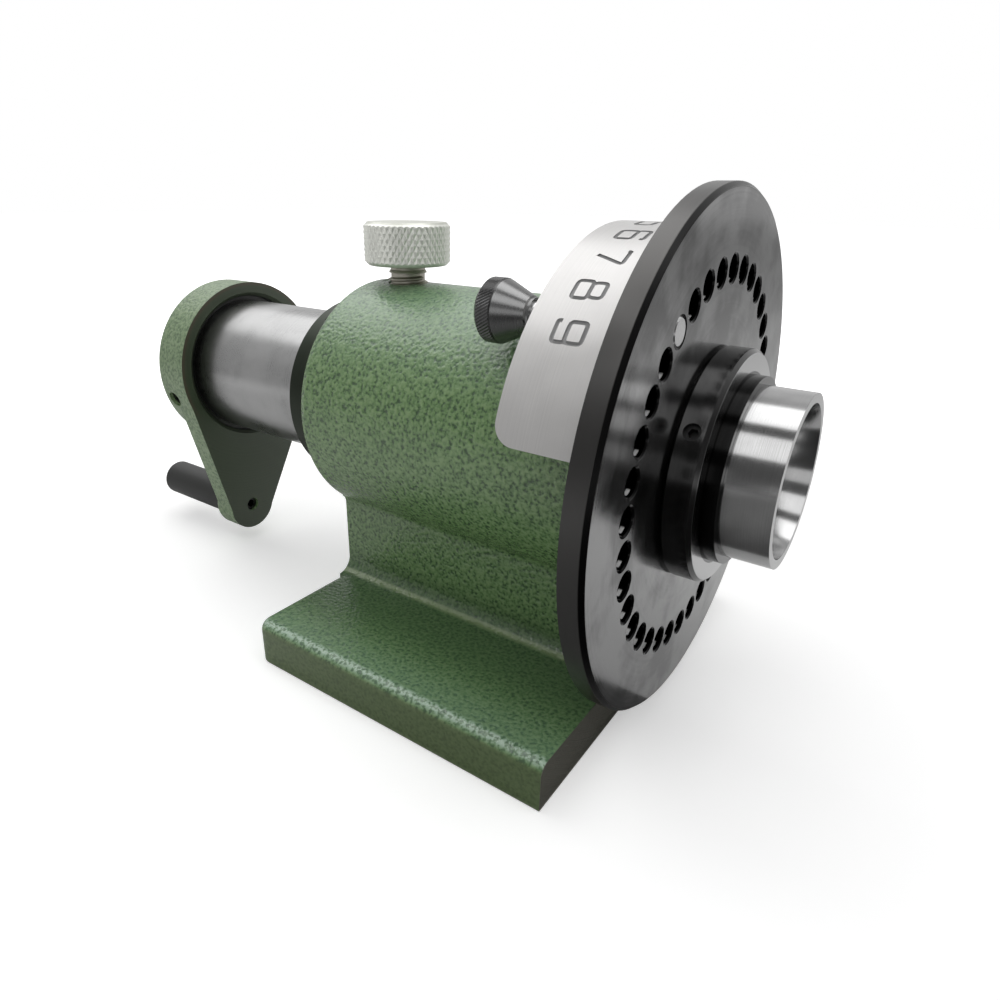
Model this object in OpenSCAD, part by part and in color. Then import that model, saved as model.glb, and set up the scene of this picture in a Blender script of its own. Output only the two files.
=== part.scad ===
// Spin index jig. A horizontal spindle for draw-in collets turns in a cast body on a flat base.
// The origin lies on the bottom of the base, under the spindle axis and halfway along the body.
// +X runs along the spindle towards its nose and +Z is up. All sizes are in millimetres.
// An angle round the spindle is counted from the top towards -Y.

/* [Body casting] */
// Height of the spindle axis above the bottom of the base
centre_h = 70.5; // [68:0.5:95]
// Length of the base and of the barrel, along the spindle
body_l = 100; // [96:1:140]
// Width of the base, across the spindle
base_w = 120; // [100:1:170]
// Thickness of the base flanges
base_t = 13; // [9:0.5:20]
// Radius of the rounded upper edges of the base
base_edge_r = 3; // [1:0.5:4]
// Radius of the two rear corners of the base, seen from above
base_corner_r = 5; // [4.6:0.1:12]
// Width of the web between the base and the barrel
web_w = 39; // [30:1:50]
// Radius of the fillet along the foot of the web
web_foot_r = 5; // [2:0.5:8]
// Radius of the fillet where the web meets the barrel
web_head_r = 3; // [1:0.5:6]
// Radius of the barrel
barrel_r = 36.6; // [33:0.1:40]
// Radius of the rounded rear edge of the barrel
barrel_edge_r = 3; // [1:0.5:5]

/* [Spindle] */
// Radius of the ground outside of the spindle
spindle_r = 23.9; // [22.5:0.1:25]
// Radial running clearance of the spindle in the body
spindle_fit = 0.04; // [0.01:0.01:0.1]
// Radius of the flange that carries the index plate
flange_r = 26.5; // [25.6:0.1:27.2]
// Length of spindle and tube that shows between the barrel and the crank
rear_reach = 65.9; // [40:0.1:120]
// How far the end of the spindle reaches into the crank
cup_reach = 2.6; // [1:0.1:5]
// Length of the dark neck in front of the front collar
neck_l = 3.3; // [1:0.1:8]
// Radius of the dark neck
neck_r = 23.2; // [21.6:0.1:23.6]
// Length of the bright nose
nose_l = 11.5; // [6:0.1:20]
// Radius of the bright nose
nose_r = 21.2; // [20:0.1:21.5]
// Radius of the collet seat at the mouth of the nose
seat_r = 18.85; // [18:0.05:19.2]
// Slope of the collet seat to the axis, in degrees
seat_angle = 10; // [8:0.5:15]
// Radius of the bore that guides the body of the collet
collet_r = 15.9; // [14.5:0.05:16.1]
// Length of the guiding bore behind the collet seat
collet_guide_l = 43; // [30:1:48]
// Step by which the bore round the collet key is wider than the guiding bore
key_relief = 0.5; // [0.2:0.1:1]

/* [Collet key] */
// Radius of the point of the collet key
key_r = 2.3; // [1.5:0.1:2.6]
// Radius of the threaded shank of the collet key
key_shank_r = 3; // [2.7:0.1:4]
// How far the key stands into the guiding bore
key_reach = 1.8; // [1:0.1:2.4]

/* [Draw tube] */
// Outer radius of the draw tube
draw_r = 17.5; // [17:0.1:18.5]
// Radial running clearance of the draw tube in the spindle
draw_fit = 0.08; // [0.02:0.01:0.1]
// Radius of the threaded mouth that draws the collet
draw_thread_r = 15.25; // [15:0.05:15.8]
// Length of the threaded mouth
draw_thread_l = 14; // [8:1:25]
// Radius of the through bore for bar stock
stock_r = 14.6; // [12:0.1:14.9]
// Radius of the head that the crank is clamped on
head_r = 22; // [20:0.1:23]
// How far the head stands out behind the crank
head_out = 1.2; // [0.5:0.1:4]

/* [Crank] */
// Thickness of the big end of the crank
crank_t = 15.1; // [12:0.1:20]
// Radius of the big end of the crank
crank_big_r = 30.3; // [29:0.1:34]
// Thickness of the arm between the two ends of the crank
crank_arm_t = 8; // [6:0.1:10]
// Thickness of the small end of the crank
crank_small_t = 10.8; // [10.2:0.1:12]
// Radius of the small end of the crank
crank_small_r = 9.7; // [8:0.1:14]
// Distance from the spindle axis to the handle
crank_throw = 56; // [48:1:100]
// Direction of the arm of the crank, in degrees
crank_angle = 171.8; // [0:0.2:360]
// Radius of the rounded rear edges of the crank's two round ends
crank_edge_r = 2; // [0.5:0.5:3]
// Radius of the open cup round the end of the spindle
cup_r = 25.3; // [25.1:0.1:27]
// Width of the bevel at the mouth of the cup
cup_bevel = 1.4; // [0.4:0.1:2]
// Radius of the clamping screw in the rim
crank_screw_r = 2.8; // [1.5:0.1:3.5]
// Direction of the clamping screw in the rim, in degrees
crank_screw_angle = 107; // [0:1:360]

/* [Handle] */
// Radius of the handle
handle_r = 6.9; // [5:0.1:9]
// Length of the handle behind the crank
handle_l = 42; // [30:1:90]
// Height of the domed end of the handle
handle_dome = 3.6; // [1:0.1:4.5]
// Radius of the screw that holds the handle
handle_screw_r = 2.6; // [1.5:0.05:3.5]
// How far that screw goes into the handle
handle_screw_l = 18; // [8:1:25]

/* [Collars] */
// Radius of the front collar
front_collar_r = 29.1; // [27.5:0.1:34]
// Length of the front collar
front_collar_l = 7.5; // [6:0.1:14]
// Radius of the thrust collar at the rear
thrust_collar_r = 29.3; // [27.5:0.1:34]
// Length of the thrust collar
thrust_collar_l = 12.4; // [6:0.1:20]
// Bevel on the edges of both collars
collar_bevel = 0.9; // [0.2:0.1:1.5]
// End play between the rotating shoulders and the body
end_play = 0.1; // [0.05:0.01:0.3]
// Radius of the set screws of the collars
collar_screw_r = 2; // [1.25:0.05:2.5]
// Number of set screws in each collar
collar_screws = 3; // [1:1:4]
// Direction of the first set screw of the front collar, in degrees
front_screw_angle = 58.5; // [0:0.5:360]
// Direction of the first set screw of the thrust collar, in degrees
thrust_screw_angle = 150; // [0:0.5:360]

/* [Index plate] */
// Radius of the index plate
plate_r = 64.8; // [62:0.1:68]
// Thickness of the index plate
plate_t = 5.5; // [4:0.1:9]
// Bevel on the front edge of the index plate
plate_bevel = 1; // [0.3:0.1:2]
// Space between the body and the index plate
plate_gap = 3; // [2.8:0.1:6]
// Number of holes in the index plate
plate_holes = 36; // [24:12:36]
// Radius of the circle of index holes
index_circle_r = 46.6; // [45.5:0.1:48]
// Bevel at the mouths of the index holes
hole_bevel = 0.4; // [0.1:0.1:0.8]
// Radius of the round key between spindle and index plate
plate_key_r = 1.5; // [1:0.1:2]

/* [Index quadrant] */
// Outer radius of the index quadrant
quadrant_r = 56; // [53:0.1:60]
// Thickness of the quadrant along the spindle, behind the body's front face
quadrant_l = 19.5; // [14:0.1:40]
// Thickness of the lip that is screwed to the front of the barrel
lip_t = 2.5; // [1.5:0.1:2.7]
// Inner radius of the lip
lip_r = 27.8; // [27.4:0.1:28.4]
// Half of the angle that the quadrant spans, in degrees
quadrant_half_angle = 75.5; // [60:0.5:85]
// Radius of the rounded rear corners of the quadrant
quadrant_corner_r = 5; // [1:0.5:8]
// Number of vernier holes in the quadrant
vernier_holes = 10; // [2:1:12]
// Angle between two vernier holes, in degrees
vernier_angle = 11; // [10.5:0.5:12]
// Radius of the threads of the quadrant screws
quadrant_screw_r = 1.9; // [1.5:0.1:2]
// Radius of the sunk heads of the quadrant screws
quadrant_head_r = 3.6; // [3:0.1:3.8]
// Length of the quadrant screws
quadrant_screw_l = 12; // [8:1:20]
// Angle between two quadrant screws, in degrees
quadrant_screw_angle = 55; // [35:1:60]

/* [Index pin] */
// Radius of the index pin
pin_r = 3.175; // [2.5:0.005:3.5]
// Radial clearance of the pin in its holes
pin_fit = 0.05; // [0.02:0.01:0.1]
// Which vernier hole the pin stands in, counted from the +Y side
pin_hole = 8; // [0:1:8]
// Length of the pin that shows between the knob and the quadrant
pin_show = 5.5; // [1:0.1:10]
// Length of the knob
knob_l = 12.8; // [10:0.1:30]
// Radius of the knurled rim of the knob
knob_r = 7.5; // [6:0.1:8.5]
// Length of the knurled rim of the knob
knob_rim_l = 4.8; // [3:0.1:9]
// Radius of the small end of the knob's cone
knob_neck_r = 3.8; // [3.7:0.1:5]
// Bevel at the rear edge of the knob
knob_bevel = 1.2; // [0.2:0.1:2]

/* [Lock screw] */
// Distance of the lock screw from the rear end of the barrel
lock_inset = 12.5; // [10:0.5:60]
// Radius of the knurled head
lock_head_r = 12.8; // [10:0.1:18]
// Height of the knurled head
lock_head_h = 12; // [8:0.1:20]
// Bevel on the edges of the knurled head
lock_bevel = 1.2; // [0.3:0.1:2]
// Height of the head above the barrel
lock_lift = 4.9; // [2:0.1:15]
// Radius of the threaded shank
lock_r = 5.95; // [4:0.05:7]
// Radial clearance of the shank in the body
lock_fit = 0.05; // [0.02:0.01:0.1]
// Depth of the relief groove under the head
lock_groove = 0.8; // [0.2:0.1:1.5]
// Height of the relief groove under the head
lock_groove_h = 2.3; // [0.5:0.1:3]
// Radius of the flat spot round the lock screw
spot_r = 8.2; // [7.5:0.1:12]
// Radius of the brass pad
pad_r = 5.3; // [3:0.1:5.8]
// Thickness of the brass pad
pad_t = 3.5; // [2:0.1:6]
// Clearance of the pad to the spindle and to the screw
pad_gap = 0.1; // [0.05:0.01:0.3]

/* [Hidden] */
$fn = 96;

// How far a cutting shape runs past the face it cuts
past = 1;
// Clearance of pieces that are fixed to each other
seat_gap = 0.01;
// Width of the solid part of an edge strip inside its rounding
strip_w = 1;
// How far the sides of the crank's arm lie inside the line that touches both its round ends
crank_step = 0.3;
// Narrow gap between two shoulders that pass each other
shoulder_gap = 0.3;
// Share of a socket screw's radius that its hexagon takes
hex_share = 0.62;
// Free length of a screw hole beyond the end of its screw
screw_room = 1;
// Depth of the outer end of a set screw below the surface round it
screw_sink = 1.4;
// Space on each side of the collet key's shank, along the spindle
key_side = 2;
// Wall of the spindle left under the shoulder of the collet key
key_wall = 1;
// Free length in front of the draw tube
draw_room = 1;

// Places along the spindle, from the front to the rear
body_front = body_l / 2;
body_rear = -body_l / 2;
plate_rear = body_front + plate_gap;
plate_front = plate_rear + plate_t;
collar_front = plate_front + front_collar_l;
neck_front = collar_front + neck_l;
nose_front = neck_front + nose_l;
seat_l = (seat_r - collet_r) / tan(seat_angle);
guide_front = nose_front - seat_l;
guide_rear = guide_front - collet_guide_l;
key_x = guide_rear - key_side - key_shank_r;
relief_rear = key_x - key_shank_r - key_side;
draw_front = relief_rear - draw_room;
crank_front = body_rear - rear_reach;
spindle_rear = crank_front - cup_reach;
head_front = spindle_rear - shoulder_gap;
crank_rear = crank_front - crank_t;
small_rear = crank_front - crank_small_t;
crank_screw_x = (head_front + crank_rear) / 2;
head_rear = crank_rear - head_out;
thrust_front = body_rear - end_play;
thrust_rear = thrust_front - thrust_collar_l;
quadrant_rear = body_front - quadrant_l;
quadrant_front = body_front + lip_t;
knob_front = quadrant_rear - pin_show;
knob_rear = knob_front - knob_l;
lock_x = body_rear + lock_inset;

// Radii and directions that follow from the sizes above
bore_r = spindle_r + spindle_fit;
relief_r = collet_r + key_relief;
key_seat_r = relief_r + key_wall;
draw_bore_r = draw_r + draw_fit;
index_hole_r = pin_r + pin_fit;
pin_angle = (pin_hole - (vernier_holes - 1) / 2) * vernier_angle;
plate_angle = 360 / plate_holes;
quadrant_screw_circle = (barrel_r + lip_r) / 2;
pad_top = spindle_r + pad_gap + pad_t;
head_low = barrel_r + lock_lift;

// Turns a child whose +Z axis is its own axis so that this axis lies along the spindle
module along_spindle(x = 0, angle = 0, r = 0) {
  translate([0, 0, centre_h])
    rotate([angle, 0, 0])
      translate([x, 0, r])
        rotate([0, 90, 0])
          children();
}

// Places a child at x along the spindle with its +Z axis pointing straight out from the axis
module outward(x, angle = 0, r = 0) {
  translate([0, 0, centre_h])
    rotate([angle, 0, 0])
      translate([x, 0, r])
        children();
}

// Turned piece on the spindle axis, from points [radius, x]
module turned(points) {
  along_spindle()
    rotate_extrude()
      polygon(points);
}

// Half section of a disc whose far outer corner is rounded
module rim_section(r, t, edge) {
  square([r - edge, t]);
  square([r, t - edge]);
  intersection() {
    square([r, t]);
    translate([r - edge, t - edge])
      circle(edge);
  }
}

// Direction of the outer tangent from corner circle a to corner circle b
function tangent_angle(a, b) =
  atan2(b[1] - a[1], b[0] - a[0]) - acos((a[2] - b[2]) / norm([b[0] - a[0], b[1] - a[1]]));

// Point at radius r round a corner circle
function round_point(c, angle, r) = [c[0] + r * cos(angle), c[1] + r * sin(angle)];

// Straight-sided outline that joins corner circles and lies inside their outer tangents by inset
module tangent_outline(corners, inset) {
  last = len(corners) - 1;
  polygon([
    for (i = [0:last])
      let (a = corners[i], b = corners[(i + 1) % (last + 1)], angle = tangent_angle(a, b))
        for (c = [a, b])
          round_point(c, angle, c[2] - inset)
  ]);
}

// Straight stretch of a rounded edge, between two corner circles
module edge_strip(a, b, t, edge) {
  angle = tangent_angle(a, b);
  start = round_point(a, angle, a[2]);
  run = norm(round_point(b, angle, b[2]) - start);
  translate([start[0], start[1], 0])
    rotate([0, 0, angle])
      translate([0, run, 0])
        rotate([90, 0, 0])
          linear_extrude(run)
            translate([-edge - strip_w, 0])
              rim_section(edge + strip_w, t, edge);
}

// Plate round corner circles [x, y, radius], counter-clockwise, with its upper edge rounded
module rounded_plate(corners, t, edge) {
  last = len(corners) - 1;
  for (c = corners)
    translate([c[0], c[1], 0])
      rotate_extrude()
        rim_section(c[2], t, edge);
  for (i = [0:last])
    edge_strip(corners[i], corners[(i + 1) % (last + 1)], t, edge);
  linear_extrude(t)
    tangent_outline(corners, edge + strip_w / 2);
}

// Headless socket screw with its tip at the origin, pointing down
module socket_screw(r, l) {
  depth = min(r, l / 2);
  difference() {
    cylinder(r = r, h = l);
    translate([0, 0, l - depth])
      cylinder(r = r * hex_share, h = depth + past, $fn = 6);
  }
}

// Base with rounded upper edges at its sides and rear, and a machined front
module base() {
  side = base_w / 2 - base_corner_r;
  rear = body_rear + base_corner_r;
  front = body_front + base_corner_r;
  corners = [
    [rear, -side, base_corner_r], [front, -side, base_corner_r],
    [front, side, base_corner_r], [rear, side, base_corner_r]
  ];
  intersection() {
    rounded_plate(corners, base_t, base_edge_r);
    translate([body_rear - past, -base_w / 2 - past, -past])
      cube([body_l + past, base_w + 2 * past, base_t + 2 * past]);
  }
}

// One side of the section across the web, with its fillets to the base and to the barrel
module web_side() {
  half = web_w / 2;
  low = base_t - base_edge_r;
  head_y = half + web_head_r;
  head_z = centre_h - sqrt(pow(barrel_r + web_head_r, 2) - pow(head_y, 2));
  share = barrel_r / (barrel_r + web_head_r);
  square([half, centre_h]);
  difference() {
    translate([half - past, low])
      square([web_foot_r + past, web_foot_r + base_edge_r]);
    translate([half + web_foot_r, base_t + web_foot_r])
      circle(web_foot_r);
  }
  difference() {
    polygon([
      [half - past, head_z], [head_y, head_z],
      [head_y * share, centre_h + (head_z - centre_h) * share], [half - past, centre_h]
    ]);
    translate([head_y, head_z])
      circle(web_head_r);
  }
}

// Barrel with a rounded rear edge
module barrel() {
  translate([body_front, 0, centre_h])
    rotate([0, -90, 0])
      rotate_extrude()
        rim_section(barrel_r, body_l, barrel_edge_r);
}

module body_casting() {
  color("seagreen")
    difference() {
      union() {
        base();
        translate([body_rear, 0, 0])
          rotate([90, 0, 90])
            linear_extrude(body_l)
              for (side = [0, 1])
                mirror([side, 0])
                  web_side();
        barrel();
      }
      along_spindle(body_rear - past)
        cylinder(r = bore_r, h = body_l + 2 * past);
      outward(lock_x)
        cylinder(r = lock_r + lock_fit, h = barrel_r + past);
      outward(lock_x, 0, sqrt(pow(barrel_r, 2) - pow(spot_r / 2, 2)))
        cylinder(r = spot_r, h = barrel_r);
      for (i = [-1:1])
        along_spindle(quadrant_front - quadrant_screw_l, i * quadrant_screw_angle, quadrant_screw_circle)
          cylinder(r = quadrant_screw_r + seat_gap, h = quadrant_screw_l);
    }
}

// Cuts the sharp corner off one end of the quadrant, at its rear face
module quadrant_corner_cut() {
  r = quadrant_corner_r;
  outward(quadrant_rear, quadrant_half_angle, barrel_r - past)
    linear_extrude(quadrant_r - barrel_r + 2 * past)
      difference() {
        translate([-past, -past])
          square(r + past);
        translate([r, r])
          circle(r);
      }
}

// Countersunk screw with its flat head at the origin, pointing down
module sunk_screw(r, head, l, grow = 0) {
  translate([0, 0, -l])
    cylinder(r = r + grow, h = l);
  translate([0, 0, r - head])
    cylinder(r1 = r + grow, r2 = head + grow, h = head - r);
}

module index_quadrant() {
  inner = barrel_r + seat_gap;
  color("gainsboro")
    difference() {
      along_spindle()
        rotate([0, 0, 180 - quadrant_half_angle])
          rotate_extrude(angle = 2 * quadrant_half_angle)
            union() {
              translate([inner, quadrant_rear])
                square([quadrant_r - inner, quadrant_l + lip_t]);
              translate([lip_r, body_front + seat_gap])
                square([quadrant_r - lip_r, lip_t - seat_gap]);
            }
      quadrant_corner_cut();
      mirror([0, 1, 0])
        quadrant_corner_cut();
      for (i = [0:vernier_holes - 1])
        let (angle = (i - (vernier_holes - 1) / 2) * vernier_angle) {
          along_spindle(quadrant_rear - past, angle, index_circle_r)
            cylinder(r = index_hole_r, h = quadrant_l + lip_t + 2 * past);
          along_spindle(quadrant_rear - past, angle, index_circle_r)
            cylinder(r1 = index_hole_r + hole_bevel + past, r2 = index_hole_r, h = hole_bevel + past);
        }
      for (i = [-1:1])
        along_spindle(quadrant_front, i * quadrant_screw_angle, quadrant_screw_circle)
          sunk_screw(quadrant_screw_r, quadrant_head_r, quadrant_screw_l, seat_gap);
    }
}

module quadrant_screws() {
  color("dimgray")
    for (i = [-1:1])
      along_spindle(quadrant_front, i * quadrant_screw_angle, quadrant_screw_circle)
        difference() {
          sunk_screw(quadrant_screw_r, quadrant_head_r, quadrant_screw_l - screw_room);
          translate([0, 0, -quadrant_screw_r])
            cylinder(r = quadrant_screw_r * hex_share, h = quadrant_screw_r + past, $fn = 6);
        }
}

// Round key half in the spindle and half in the index plate
module plate_key_shape(grow = 0) {
  along_spindle(plate_rear, 0, spindle_r)
    cylinder(r = plate_key_r + grow, h = plate_t);
}

// Collet key up to radius top: a screw in the wall of the spindle whose point stands into the bore
module collet_key_shape(top, grow = 0) {
  tip = collet_r - key_reach;
  outward(key_x, 0, tip)
    cylinder(r = key_r + grow, h = top - tip);
  outward(key_x, 0, key_seat_r)
    cylinder(r = key_shank_r + grow, h = top - key_seat_r);
}

module spindle() {
  color("silver")
    difference() {
      turned([
        [collet_r, guide_rear], [collet_r, guide_front], [seat_r, nose_front],
        [nose_r, nose_front], [nose_r, neck_front], [neck_r, neck_front],
        [neck_r, collar_front], [spindle_r, collar_front], [spindle_r, plate_rear],
        [flange_r, plate_rear], [flange_r, body_front + end_play], [spindle_r, body_front + end_play],
        [spindle_r, spindle_rear], [draw_bore_r, spindle_rear],
        [draw_bore_r, relief_rear], [relief_r, relief_rear], [relief_r, guide_rear]
      ]);
      collet_key_shape(spindle_r + past, seat_gap);
      plate_key_shape(seat_gap);
    }
}

module collet_key() {
  top = spindle_r - shoulder_gap;
  color("dimgray")
    difference() {
      collet_key_shape(top);
      outward(key_x, 0, top - key_shank_r)
        cylinder(r = key_shank_r * hex_share, h = key_shank_r + past, $fn = 6);
    }
}

module index_plate() {
  inner = spindle_r + seat_gap;
  color("darkslategray")
    difference() {
      turned([
        [inner, plate_rear], [plate_r, plate_rear],
        [plate_r, plate_front - plate_bevel], [plate_r - plate_bevel, plate_front], [inner, plate_front]
      ]);
      for (i = [0:plate_holes - 1])
        let (angle = pin_angle + i * plate_angle) {
          along_spindle(plate_rear - past, angle, index_circle_r)
            cylinder(r = index_hole_r, h = plate_t + 2 * past);
          along_spindle(plate_front - hole_bevel, angle, index_circle_r)
            cylinder(r1 = index_hole_r, r2 = index_hole_r + hole_bevel + past, h = hole_bevel + past);
        }
      plate_key_shape(seat_gap);
    }
}

module plate_key() {
  color("gray")
    plate_key_shape();
}

// Collar between two places on the spindle, with bevelled outer edges and radial screw holes
module collar(rear, front, r, first_angle) {
  inner = spindle_r + seat_gap;
  difference() {
    turned([
      [inner, rear], [r - collar_bevel, rear], [r, rear + collar_bevel],
      [r, front - collar_bevel], [r - collar_bevel, front], [inner, front]
    ]);
    for (i = [0:collar_screws - 1])
      outward((rear + front) / 2, first_angle + i * 360 / collar_screws, 0)
        cylinder(r = collar_screw_r + seat_gap, h = r + past);
  }
}

// Set screws of a collar, sunk below its rim
module collar_screw_set(rear, front, r, first_angle) {
  for (i = [0:collar_screws - 1])
    outward((rear + front) / 2, first_angle + i * 360 / collar_screws, spindle_r + seat_gap)
      socket_screw(collar_screw_r, r - spindle_r - seat_gap - screw_sink);
}

module front_collar() {
  color("#1b1c1c")
    collar(plate_front, collar_front, front_collar_r, front_screw_angle);
}

module front_collar_screws() {
  color("dimgray")
    collar_screw_set(plate_front, collar_front, front_collar_r, front_screw_angle);
}

module thrust_collar() {
  color("#1b1c1c")
    collar(thrust_rear, thrust_front, thrust_collar_r, thrust_screw_angle);
}

module thrust_collar_screws() {
  color("dimgray")
    collar_screw_set(thrust_rear, thrust_front, thrust_collar_r, thrust_screw_angle);
}

module draw_tube() {
  color("gray")
    turned([
      [draw_thread_r, draw_front], [draw_r, draw_front], [draw_r, head_front],
      [head_r, head_front], [head_r, head_rear], [stock_r, head_rear],
      [stock_r, draw_front - draw_thread_l], [draw_thread_r, draw_front - draw_thread_l]
    ]);
}

module crank_arm() {
  color("seagreen")
    difference() {
      outward(crank_front, crank_angle)
        rotate([0, -90, 0]) {
          linear_extrude(crank_arm_t)
            tangent_outline([[0, 0, crank_big_r], [crank_throw, 0, crank_small_r]], crank_step);
          rotate_extrude()
            rim_section(crank_big_r, crank_t, crank_edge_r);
          translate([crank_throw, 0, 0])
            rotate_extrude()
              rim_section(crank_small_r, crank_small_t, crank_edge_r);
        }
      along_spindle(crank_rear - past)
        cylinder(r = head_r + seat_gap, h = crank_t + 2 * past);
      along_spindle(head_front)
        cylinder(r = cup_r, h = crank_t);
      along_spindle(crank_front - cup_bevel)
        cylinder(r1 = cup_r, r2 = cup_r + cup_bevel + past, h = cup_bevel + past);
      outward(crank_screw_x, crank_screw_angle)
        cylinder(r = crank_screw_r + seat_gap, h = crank_big_r + past);
      along_spindle(small_rear - past, crank_angle, crank_throw)
        cylinder(r = handle_screw_r + seat_gap, h = crank_small_t + 2 * past);
    }
}

module crank_screw() {
  color("dimgray")
    outward(crank_screw_x, crank_screw_angle, head_r + seat_gap)
      socket_screw(crank_screw_r, crank_big_r - head_r - seat_gap - screw_sink);
}

module handle() {
  dome_r = (pow(handle_r, 2) + pow(handle_dome, 2)) / (2 * handle_dome);
  color("#26282a")
    difference() {
      along_spindle(small_rear, crank_angle, crank_throw)
        rotate([180, 0, 0])
          rotate_extrude()
            intersection() {
              square([handle_r, handle_l]);
              union() {
                square([handle_r, handle_l - handle_dome]);
                translate([0, handle_l - dome_r])
                  circle(dome_r);
              }
            }
      along_spindle(small_rear - handle_screw_l, crank_angle, crank_throw)
        cylinder(r = handle_screw_r + seat_gap, h = handle_screw_l + past);
    }
}

module handle_screw() {
  color("dimgray")
    along_spindle(small_rear - handle_screw_l + screw_room, crank_angle, crank_throw)
      socket_screw(handle_screw_r, handle_screw_l - screw_room + crank_small_t - screw_sink);
}

module index_pin() {
  tip = hole_bevel;
  color("silver")
    along_spindle(0, pin_angle, index_circle_r)
      rotate_extrude()
        polygon([
          [0, knob_front - knob_l / 2], [pin_r, knob_front - knob_l / 2],
          [pin_r, plate_front - tip], [pin_r - tip, plate_front], [0, plate_front]
        ]);
}

module index_knob() {
  color("#202224")
    along_spindle(0, pin_angle, index_circle_r)
      rotate_extrude()
        polygon([
          [0, knob_rear], [knob_r - knob_bevel, knob_rear], [knob_r, knob_rear + knob_bevel],
          [knob_r, knob_rear + knob_rim_l], [knob_neck_r, knob_front], [pin_r + seat_gap, knob_front],
          [pin_r + seat_gap, knob_front - knob_l / 2 - seat_gap], [0, knob_front - knob_l / 2 - seat_gap]
        ]);
}

module lock_screw() {
  low = pad_top + pad_gap;
  high = head_low + lock_head_h;
  color("gainsboro")
    outward(lock_x)
      rotate_extrude()
        polygon([
          [0, low], [lock_r, low], [lock_r, head_low - lock_groove_h],
          [lock_r - lock_groove, head_low - lock_groove_h], [lock_r - lock_groove, head_low],
          [lock_head_r - lock_bevel, head_low], [lock_head_r, head_low + lock_bevel],
          [lock_head_r, high - lock_bevel], [lock_head_r - lock_bevel, high], [0, high]
        ]);
}

module lock_pad() {
  color("goldenrod")
    difference() {
      outward(lock_x, 0, spindle_r - pad_t)
        cylinder(r = pad_r, h = pad_top - spindle_r + pad_t);
      along_spindle(lock_x - 2 * pad_r)
        cylinder(r = spindle_r + pad_gap, h = 4 * pad_r);
    }
}

body_casting();
index_quadrant();
quadrant_screws();
spindle();
collet_key();
index_plate();
plate_key();
front_collar();
front_collar_screws();
thrust_collar();
thrust_collar_screws();
draw_tube();
crank_arm();
crank_screw();
handle();
handle_screw();
index_pin();
index_knob();
lock_screw();
lock_pad();
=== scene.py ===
# %% [markdown]
# # Spin index jig
# A spin index jig holds a round workpiece in a collet and turns it by exact steps of one degree.
# A cast body painted hammered green carries a ground steel spindle. At the front a black index plate with
# 36 holes turns in front of a bright quadrant with ten holes, and a pin locks the two. At the rear a crank
# turns the draw tube that closes the collet. The construction comes in as a fixed frame of CAD pieces.
# This lesson gives each of them its finish, and models what a construction leaves out: knurls, a thread and
# engraved numbers.

import math

import bpy
from mathutils import Matrix, Vector


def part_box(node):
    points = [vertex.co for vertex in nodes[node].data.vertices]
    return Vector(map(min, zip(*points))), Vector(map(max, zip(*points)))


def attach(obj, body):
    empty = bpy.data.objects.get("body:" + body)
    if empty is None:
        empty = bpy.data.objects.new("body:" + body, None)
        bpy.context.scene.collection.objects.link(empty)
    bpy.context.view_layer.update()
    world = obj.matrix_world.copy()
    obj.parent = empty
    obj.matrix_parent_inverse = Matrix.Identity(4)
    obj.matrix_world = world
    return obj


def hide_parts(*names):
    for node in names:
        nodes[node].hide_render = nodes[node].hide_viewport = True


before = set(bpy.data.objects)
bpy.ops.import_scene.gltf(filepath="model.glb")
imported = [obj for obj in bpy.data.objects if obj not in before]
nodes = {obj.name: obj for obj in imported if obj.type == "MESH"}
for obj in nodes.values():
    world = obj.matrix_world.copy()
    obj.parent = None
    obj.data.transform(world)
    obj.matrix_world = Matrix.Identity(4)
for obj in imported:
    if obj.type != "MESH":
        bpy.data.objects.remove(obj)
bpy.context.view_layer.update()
MM = 0.001

# %% [markdown]
# ## Places on the jig
# The spindle axis runs along X. Its height, and the places of the pieces along it, are read from the boxes of
# the CAD nodes, so that each finish stays on its own surface.

# %% Read the main places
AXIS_Z = sum(corner.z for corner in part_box("index_plate")) / 2
AXIS_POINT = Vector((0, 0, AXIS_Z))
ALONG_X = Vector((1, 0, 0))
ALONG_Z = Vector((0, 0, 1))
print("height of the spindle axis:", round(AXIS_Z / MM, 2), "mm")

# %% [markdown]
# ## Camera
# The camera stands in front of the index plate, to its right and a little above it, close enough for a strong
# perspective: the plate looks far larger than the crank behind it. A wide lens from a short distance does that,
# and a small shift keeps the object off the centre of the picture, as in the photograph.

# %% Set the camera
CAMERA_PLACE = Vector((107.3, -168.2, 132.2)) * MM
CAMERA_AZIMUTH = math.radians(34.97)
CAMERA_ELEVATION = math.radians(22.91)
CAMERA_ROLL = math.radians(0.82)
SENSOR = 36.0
LENS = 25.35
SHIFT_X = 0.0212
SHIFT_Y = -0.0101


def camera_axes():
    """Right, up and backward directions of the camera."""
    flat = Vector((math.sin(CAMERA_AZIMUTH), -math.cos(CAMERA_AZIMUTH), 0))
    back = flat * math.cos(CAMERA_ELEVATION) + ALONG_Z * math.sin(CAMERA_ELEVATION)
    right = Vector((math.cos(CAMERA_AZIMUTH), math.sin(CAMERA_AZIMUTH), 0))
    up = back.cross(right)
    turned_right = right * math.cos(CAMERA_ROLL) + up * math.sin(CAMERA_ROLL)
    turned_up = up * math.cos(CAMERA_ROLL) - right * math.sin(CAMERA_ROLL)
    return turned_right, turned_up, back


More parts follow.
